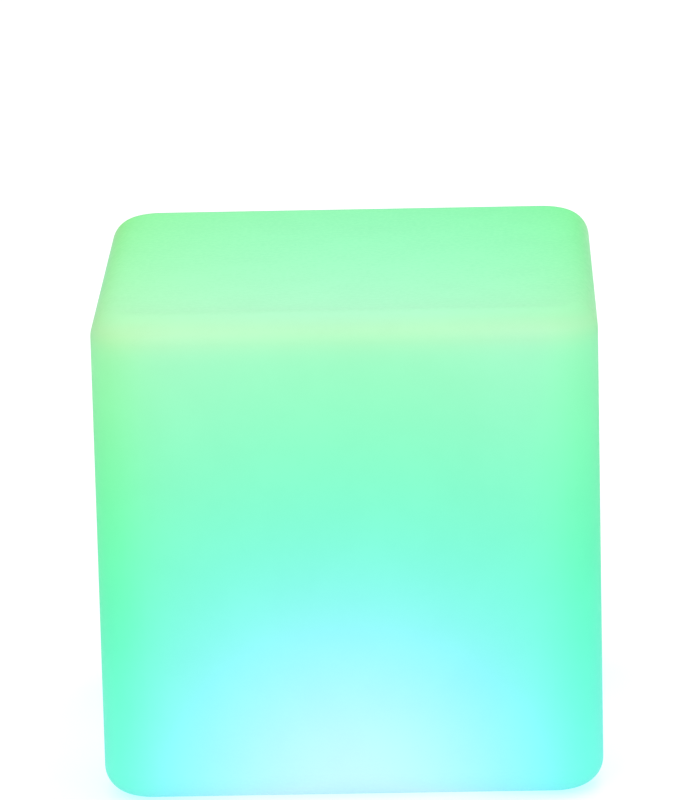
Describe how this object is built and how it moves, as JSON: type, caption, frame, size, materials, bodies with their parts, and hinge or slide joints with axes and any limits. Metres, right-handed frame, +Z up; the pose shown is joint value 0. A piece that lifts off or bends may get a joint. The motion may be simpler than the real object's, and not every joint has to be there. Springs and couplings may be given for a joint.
{
  "type": "led cube light",
  "caption": "Rounded cube garden light: a glowing hollow shell on rubber feet with a sealed round battery lamp unit in its underside, with a push button and a covered charging port.",
  "frame": {"origin": "on the ground under the middle of the cube", "axes": "+Z up, the front that the picture shows faces -Y, +X to the right seen from the front"},
  "size_m": [0.4, 0.4, 0.4],
  "materials": {
    "milky_polyethylene": "satin, finely grained",
    "brass": "turned",
    "black_rubber": "matt",
    "white_silicone": "matt",
    "grey_silicone": "matt",
    "white_casing": "satin",
    "steel": "plated",
    "clear_plastic": "polished",
    "light_board": "white coated",
    "light_chips": "clear resin",
    "green_board": "satin",
    "black_parts": "satin",
    "nylon": "satin",
    "black_moulding": "satin",
    "cell_sleeve": "shrink sleeve",
    "nickel_strip": "bright",
    "grey_button": "satin",
    "red_lead": "satin",
    "grey_lead": "satin"
  },
  "bodies": {
    "cube": {"diffuser_shell": "milky_polyethylene", "unit_inserts": "brass", "rubber_feet": "black_rubber", "mouth_gasket": "white_silicone", "lamp_base": "white_casing", "unit_screws": "steel", "housing_seal": "white_silicone", "lamp_housing": "white_casing", "housing_screws": "steel", "lens_dome": "clear_plastic", "led_board": "light_board", "led_chips": "light_chips", "led_screws": "steel", "control_board": "green_board", "control_parts": "black_parts", "board_spacers": "nylon", "battery_cradle": "black_moulding", "battery_cells": "cell_sleeve", "cell_links": "nickel_strip", "cell_straps": "nylon", "cradle_screws": "steel", "cover_anchor": "grey_silicone", "charge_socket": "black_parts", "socket_pin": "brass", "indicator_lens": "clear_plastic", "button_boot": "white_silicone", "push_switch": "black_parts", "battery_lead": "red_lead", "led_lead": "grey_lead"},
    "button": {"power_button": "grey_button", "switch_plunger": "nylon"},
    "cover": {"port_cover": "grey_silicone"}
  },
  "joints": [
    {"name": "power_button_press", "type": "slide", "parent": "cube", "child": "button", "axis": [0, 0, 1], "range_m": [0, 0.0015], "stiffness_N_per_m": 600, "springref_m": -0.002, "deforming": ["button_boot"]},
    {"name": "port_cover_fold", "type": "hinge", "parent": "cube", "child": "cover", "pos_m": [-0.018, -0.03615, 0.0095], "axis": [-1, 0, 0], "range_deg": [0, 150]}
  ]
}
